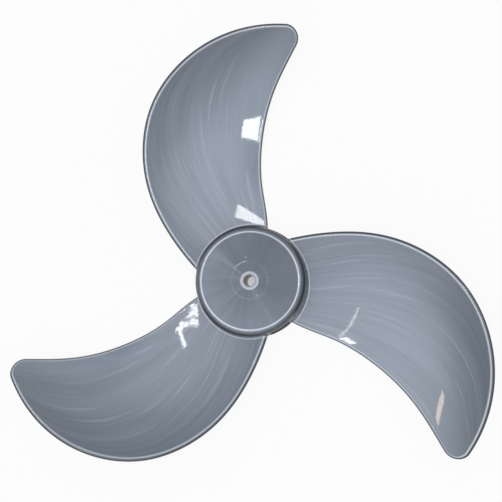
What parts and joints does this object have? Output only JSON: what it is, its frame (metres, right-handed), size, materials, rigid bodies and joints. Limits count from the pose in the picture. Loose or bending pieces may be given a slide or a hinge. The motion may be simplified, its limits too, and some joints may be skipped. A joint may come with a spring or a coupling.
{
  "type": "axial fan impeller",
  "caption": "Axial fan impeller: moulded cup hub with swept crescent blades and an aluminium bush with a plain through bore, locked on the shaft by a grub screw.",
  "frame": {"origin": "on the bore's axis, in the plane of the hub's rear rim and the bush's rear end", "axes": "+Z along the bore to the hub's front face, +X along the middle of the first blade's root"},
  "size_m": [0.5072, 0.4655, 0.0519],
  "materials": {
    "impeller_plastic": "silver-grey pearl pigment, moulded gloss with fine flow streaks",
    "bush_aluminium": "turned end face",
    "screw_steel": "black oxide"
  },
  "bodies": {
    "root": {"impeller": "impeller_plastic", "shaft_bush": "bush_aluminium", "set_screw": "screw_steel"}
  },
  "joints": []
}
